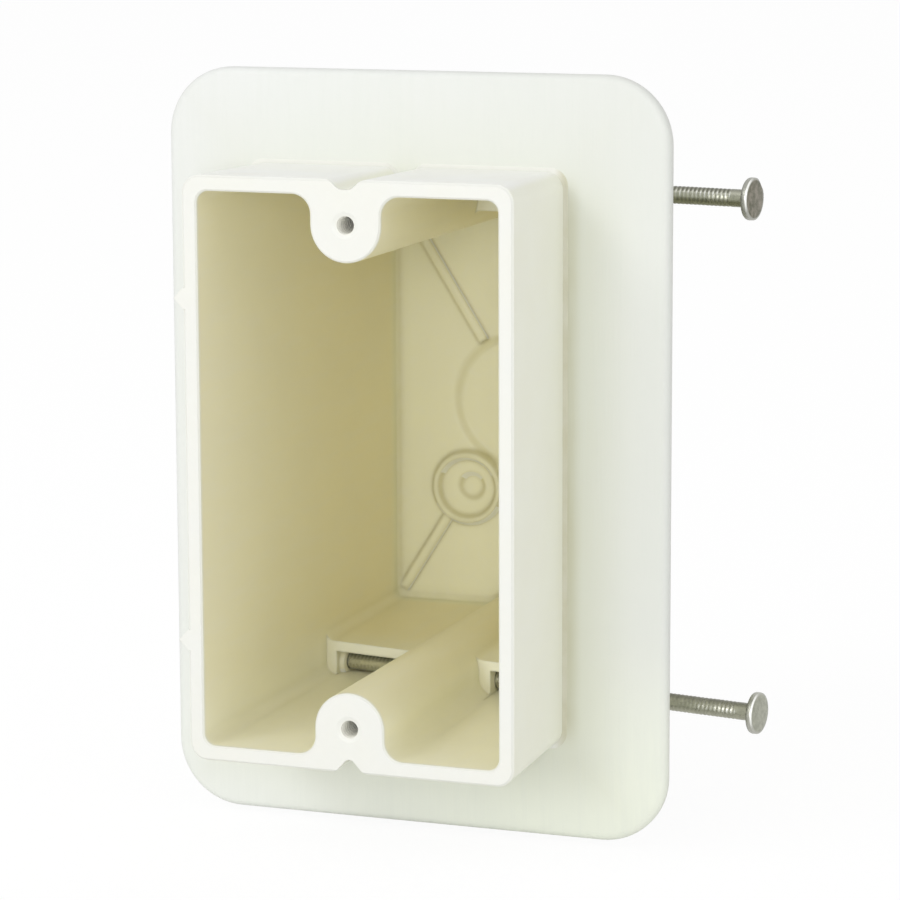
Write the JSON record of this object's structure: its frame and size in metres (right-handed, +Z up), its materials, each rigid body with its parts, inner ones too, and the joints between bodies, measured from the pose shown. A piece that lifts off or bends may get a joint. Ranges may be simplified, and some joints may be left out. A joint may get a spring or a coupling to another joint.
{
  "type": "electrical box",
  "caption": "Deep one-gang moulded wall box with a flat sealing flange round it, tapped device-screw bosses and raked side nails.",
  "frame": {"origin": "midway between the two device screws, in the plane of the front rim", "axes": "+Y into the wall, from the rim to the back wall; +Z up, along the line of the device screws; +X to the right as seen from the room, towards the nail heads"},
  "size_m": [0.1025, 0.0883, 0.1292],
  "materials": {
    "ivory_fibreglass": "semi-matt moulded glass-fibre compound, ivory",
    "white_flange": "smooth satin sheet, cool white",
    "nail_steel": "bright drawn wire, slightly dull"
  },
  "bodies": {
    "root": {"box_body": "ivory_fibreglass", "sealing_flange": "white_flange", "nail_upper": "nail_steel", "nail_lower": "nail_steel"}
  },
  "joints": []
}
